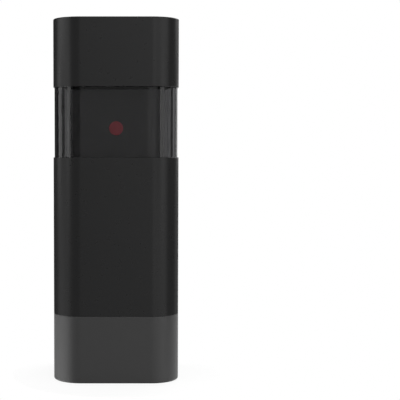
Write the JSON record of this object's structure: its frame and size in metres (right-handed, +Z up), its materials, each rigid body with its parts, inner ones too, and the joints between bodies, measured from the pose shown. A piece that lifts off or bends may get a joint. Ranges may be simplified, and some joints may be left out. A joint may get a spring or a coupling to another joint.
{
  "type": "photoelectric beam sensor",
  "caption": "Upright wall-mounted beam sensor with a rounded front: grey base, black body, smoked wrap-round window over a light shield with a red lens, and a black cap.",
  "frame": {"origin": "middle of the underside of the base", "axes": "+Z up, front with the window towards -Y, wall side towards +Y"},
  "size_m": [0.04, 0.032, 0.115],
  "materials": {
    "black_plastic": "fine satin moulded grain",
    "grey_plastic": "matte moulded grain",
    "smoked_window": "polished smoked polycarbonate",
    "plate_plastic": "plain moulded",
    "shield_plastic": "matte black, blocks light",
    "red_lens": "moulded red acrylic",
    "rubber": "moulded rubber",
    "steel": "zinc plated",
    "board": "black solder mask on glass epoxy",
    "terminal_plastic": "moulded nylon",
    "brass": "nickel flashed brass",
    "relay_case": "sealed relay case",
    "capacitor_sleeve": "shrunk sleeve over an aluminium can",
    "chip_epoxy": "moulded epoxy",
    "ceramic_chip": "fired chip parts",
    "diode_epoxy": "dark daylight-blocking epoxy"
  },
  "bodies": {
    "root": {"wall_plate": "plate_plastic", "perimeter_seal": "rubber", "cable_grommet": "rubber", "main_board": "board", "board_screws": "steel", "terminal_block": "terminal_plastic", "terminal_clamps": "brass", "terminal_screws": "steel", "relay": "relay_case", "filter_capacitor": "capacitor_sleeve", "bridge_rectifier": "chip_epoxy", "voltage_regulator": "chip_epoxy", "controller_chip": "chip_epoxy", "amplifier_chip": "chip_epoxy", "chip_resistors": "ceramic_chip", "chip_capacitors": "ceramic_chip", "photodiode": "diode_epoxy", "optics_carrier": "shield_plastic", "beam_lens": "red_lens", "body_shell": "black_plastic", "window_shell": "smoked_window", "top_cap": "black_plastic", "base_cover": "grey_plastic", "base_screw": "steel"}
  },
  "joints": []
}
